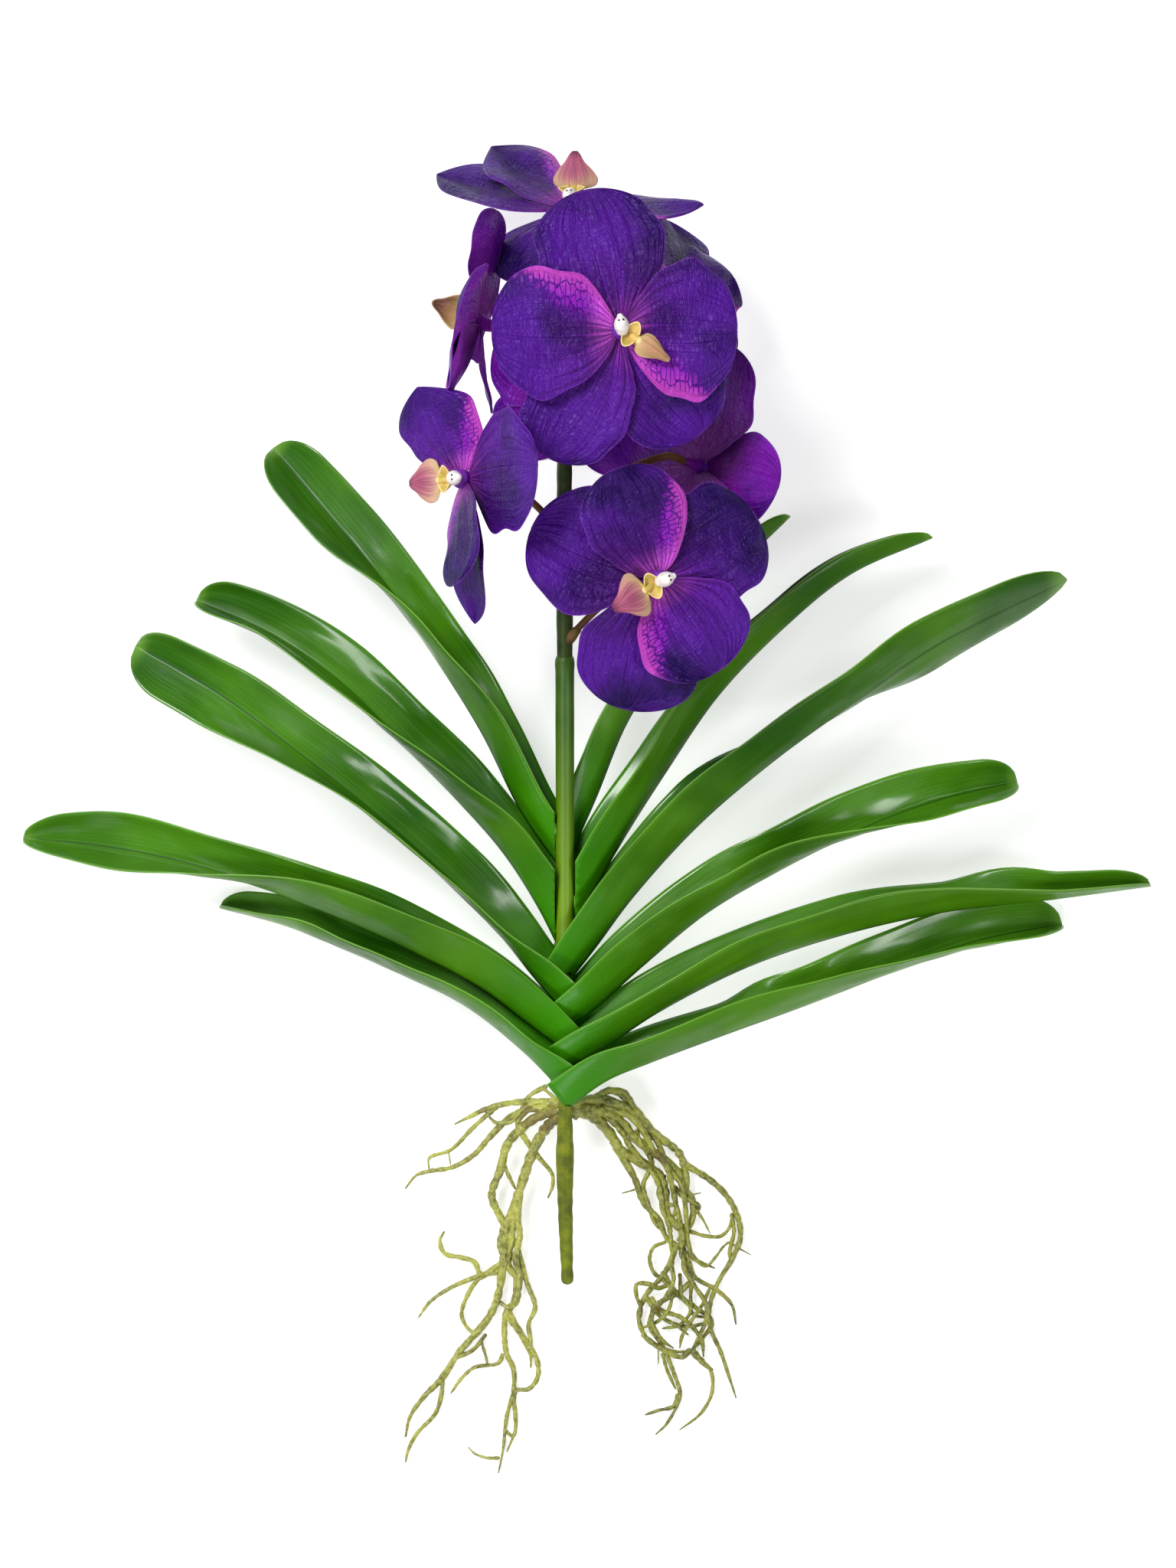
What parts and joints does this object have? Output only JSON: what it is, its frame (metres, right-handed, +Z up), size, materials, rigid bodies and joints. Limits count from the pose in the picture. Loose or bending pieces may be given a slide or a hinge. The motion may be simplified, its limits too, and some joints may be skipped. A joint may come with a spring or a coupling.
{
  "type": "vanda orchid",
  "caption": "Bare-rooted artificial vanda orchid laid on its back: a fan of folded strap leaves, a flower spike of violet blooms, a stake and hanging aerial roots.",
  "frame": {"origin": "middle of the plant's footprint, on the surface that it lies on", "axes": "+Y up the flower spike from the roots, +Z up from the surface, +X across the fan of leaves"},
  "size_m": [0.5236, 0.6136, 0.1438],
  "materials": {
    "leaf": "satin, glossy green with paler rims",
    "sleeve": "satin green",
    "spike": "satin dark olive green",
    "stake": "matt, dimpled olive",
    "root": "matt, knobbly yellow olive",
    "petal": "satin violet with a pink net and a bright throat",
    "column": "satin white with two dark dots",
    "lip": "satin beige to mauve with fine ribs"
  },
  "bodies": {
    "root": {"stake": "stake", "sleeve": "sleeve", "spike": "spike", "leaf_left_1": "leaf", "leaf_left_2": "leaf", "leaf_left_3": "leaf", "leaf_left_4": "leaf", "leaf_left_5": "leaf", "leaf_right_1": "leaf", "leaf_right_2": "leaf", "leaf_right_3": "leaf", "leaf_right_4": "leaf", "leaf_right_5": "leaf", "leaf_right_6": "leaf", "bloom_1": "petal", "column_1": "column", "lip_1": "lip", "bloom_2": "petal", "column_2": "column", "lip_2": "lip", "bloom_3": "petal", "column_3": "column", "lip_3": "lip", "bloom_4": "petal", "column_4": "column", "lip_4": "lip", "bloom_5": "petal", "column_5": "column", "lip_5": "lip", "bloom_6": "petal", "column_6": "column", "lip_6": "lip", "bloom_7": "petal", "column_7": "column", "lip_7": "lip", "bloom_8": "petal", "column_8": "column", "lip_8": "lip", "roots_left": "root", "roots_right": "root"}
  },
  "joints": []
}
